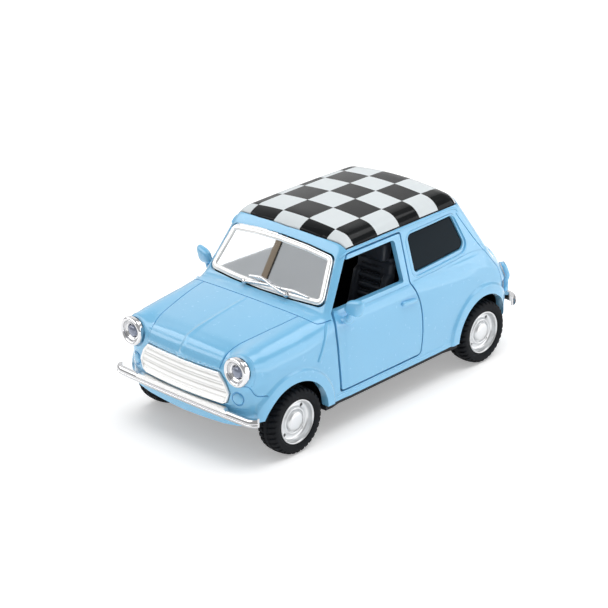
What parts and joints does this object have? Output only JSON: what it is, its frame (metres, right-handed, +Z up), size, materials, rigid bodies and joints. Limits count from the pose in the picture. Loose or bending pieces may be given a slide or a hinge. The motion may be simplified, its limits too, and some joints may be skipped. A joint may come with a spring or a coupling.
{
  "type": "pull back car",
  "caption": "Small-scale toy saloon car with opening doors, a chequered roof, chromed trim, rolling wheels and a geared pull-back motor in a screwed-on plastic base.",
  "frame": {"origin": "on the ground under the tyres, half way along the overall length, on the car's centre plane", "axes": "+X towards the car's left side, +Y towards the tail, +Z up; the nose faces -Y"},
  "size_m": [0.0512, 0.0956, 0.0443],
  "materials": {
    "sky_blue_paint": "gloss die-cast paint",
    "blue_moulding": "gloss body-colour plastic",
    "chequer_roof": "gloss black and white chequered print",
    "chrome_plating": "vacuum-plated plastic",
    "silver_wheel": "silver-painted plastic",
    "steel": "bare steel",
    "spring_steel": "blued spring steel",
    "black_plastic": "fine satin",
    "tyre_rubber": "matt with moulded tread",
    "smoked_glass": "smoked clear plastic glazing",
    "mirrored_glass": "silvered plastic glazing",
    "clear_lens": "clear plastic lens",
    "white_nylon": "moulded nylon"
  },
  "bodies": {
    "car": {"body_shell": "sky_blue_paint", "roof_panel": "chequer_roof", "windscreen_frame": "chrome_plating", "windscreen_glass": "mirrored_glass", "rear_glass": "smoked_glass", "quarter_glass_left": "smoked_glass", "quarter_glass_right": "smoked_glass", "wiper_left": "chrome_plating", "wiper_right": "chrome_plating", "front_grille": "chrome_plating", "headlight_bezel_left": "chrome_plating", "headlight_bezel_right": "chrome_plating", "headlight_lens_left": "clear_lens", "headlight_lens_right": "clear_lens", "front_bumper": "chrome_plating", "rear_bumper": "chrome_plating", "tail_lamp_left": "blue_moulding", "tail_lamp_right": "blue_moulding", "chassis_base": "black_plastic", "interior_tub": "black_plastic", "seat_left": "black_plastic", "seat_right": "black_plastic", "steering_wheel": "black_plastic", "base_screw_front": "steel", "base_screw_rear": "steel", "motor_case_left": "black_plastic", "motor_case_right": "black_plastic", "idler_shaft": "steel", "mainspring": "spring_steel"},
    "left_door": {"left_door": "sky_blue_paint", "left_door_mirror": "blue_moulding"},
    "right_door": {"right_door": "sky_blue_paint", "right_door_mirror": "blue_moulding"},
    "front_wheels": {"front_axle": "steel", "rim_front_left": "silver_wheel", "rim_front_right": "silver_wheel", "tyre_front_left": "tyre_rubber", "tyre_front_right": "tyre_rubber"},
    "rear_wheels": {"rear_axle": "steel", "rim_rear_left": "silver_wheel", "rim_rear_right": "silver_wheel", "tyre_rear_left": "tyre_rubber", "tyre_rear_right": "tyre_rubber", "axle_gear": "white_nylon"},
    "idler": {"idler_gear": "white_nylon"},
    "winding_wheel": {"winding_gear": "white_nylon"}
  },
  "joints": [
    {"name": "left_door_hinge", "type": "hinge", "parent": "car", "child": "left_door", "pos_m": [0.0202, -0.0151, 0.015], "axis": [0, 0, -1], "range_deg": [0, 55]},
    {"name": "right_door_hinge", "type": "hinge", "parent": "car", "child": "right_door", "pos_m": [-0.0202, -0.0151, 0.015], "axis": [0, 0, 1], "range_deg": [0, 55]},
    {"name": "front_wheel_spin", "type": "hinge", "parent": "car", "child": "front_wheels", "pos_m": [0, -0.033, 0.0078], "axis": [1, 0, 0], "continuous": true},
    {"name": "rear_wheel_spin", "type": "hinge", "parent": "car", "child": "rear_wheels", "pos_m": [0, 0.0306, 0.0078], "axis": [1, 0, 0], "continuous": true},
    {"name": "idler_spin", "type": "hinge", "parent": "car", "child": "idler", "pos_m": [0, 0.02621, 0.01407], "axis": [1, 0, 0], "continuous": true},
    {"name": "winding_spin", "type": "hinge", "parent": "car", "child": "winding_wheel", "pos_m": [0, 0.01815, 0.0133], "axis": [1, 0, 0], "continuous": true}
  ],
  "couplings": [
    {"joint": "idler_spin", "follows": "rear_wheel_spin", "ratio": -0.41667},
    {"joint": "winding_spin", "follows": "rear_wheel_spin", "ratio": 0.16026}
  ]
}
